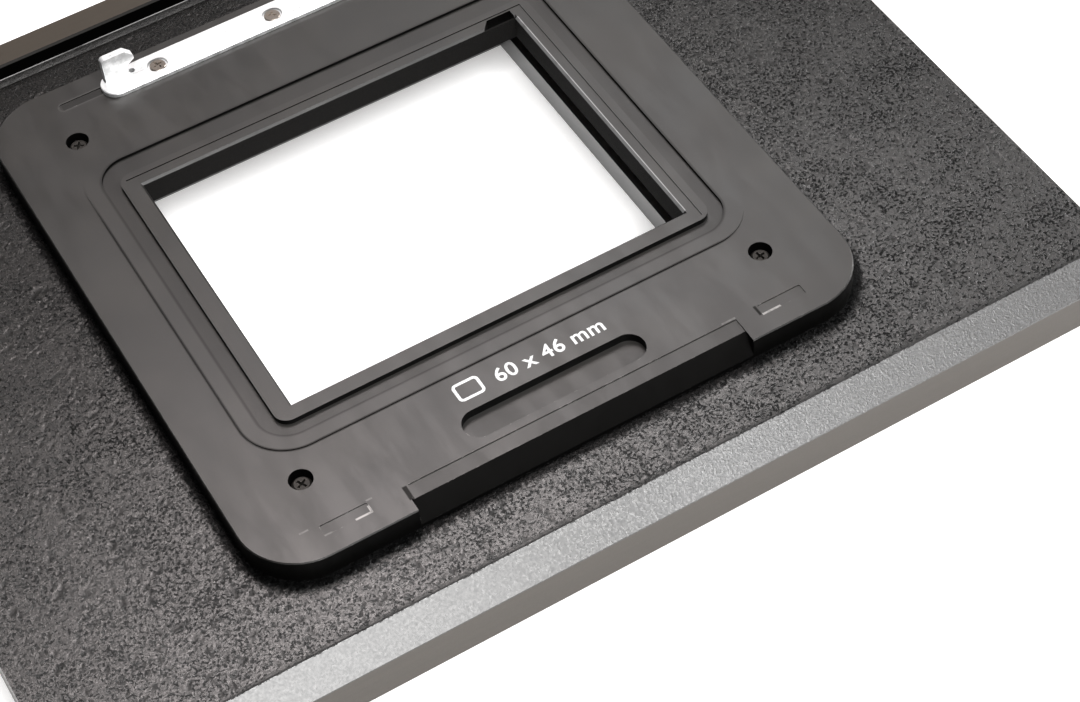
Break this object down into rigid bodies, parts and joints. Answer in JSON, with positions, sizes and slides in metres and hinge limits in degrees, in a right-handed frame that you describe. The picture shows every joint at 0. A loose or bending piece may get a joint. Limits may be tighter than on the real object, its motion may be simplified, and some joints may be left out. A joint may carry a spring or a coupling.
{
  "type": "camera back adapter board",
  "caption": "Flat board that fits a medium-format film back to a large-format view camera, with a framed window, a light-trap lip and a sprung sliding latch bar with hooks.",
  "frame": {"origin": "centre of the camera-side face, which is the bottom centre of the bounding box", "axes": "+Z out of the film-back side, +X along the long edges with the locking rail on the +Y side; the hooks' noses point along +X"},
  "size_m": [0.155, 0.1282, 0.0176],
  "materials": {
    "satin_black_alloy": "satin black coat over aluminium, slightly brown",
    "crinkle_coat": "black crinkle powder coat with fine pits",
    "anodised_black": "fine matt black anodised",
    "grey_alloy": "dull grey anodised",
    "bright_steel": "bright polished, lightly brushed",
    "black_steel": "black oxide",
    "brass_screw": "dull brass",
    "plain_steel": "plain bright",
    "black_felt": "black felt",
    "black_foam": "black closed-cell foam",
    "black_flock": "black flocked lining"
  },
  "bodies": {
    "board": {"base_frame": "satin_black_alloy", "locking_rail": "satin_black_alloy", "rail_screws": "black_steel", "cover_plate": "crinkle_coat", "cover_screws": "black_steel", "cover_dowels": "plain_steel", "throat_frame": "grey_alloy", "throat_screws": "black_steel", "light_trap_felt": "black_felt", "adapter_plate": "anodised_black", "adapter_screws": "black_steel", "plate_dowels": "plain_steel", "plate_gasket": "black_foam", "window_liner": "black_flock", "return_spring": "plain_steel"},
    "latch": {"latch_bar": "bright_steel", "latch_screws": "brass_screw", "slide_strip": "plain_steel", "spring_guide_pin": "plain_steel"}
  },
  "joints": [
    {"name": "latch_slide", "type": "slide", "parent": "board", "child": "latch", "axis": [1, 0, 0], "range_m": [-0.0025, 0], "stiffness_N_per_m": 200, "springref_m": 0.004, "deforming": ["return_spring"]}
  ]
}
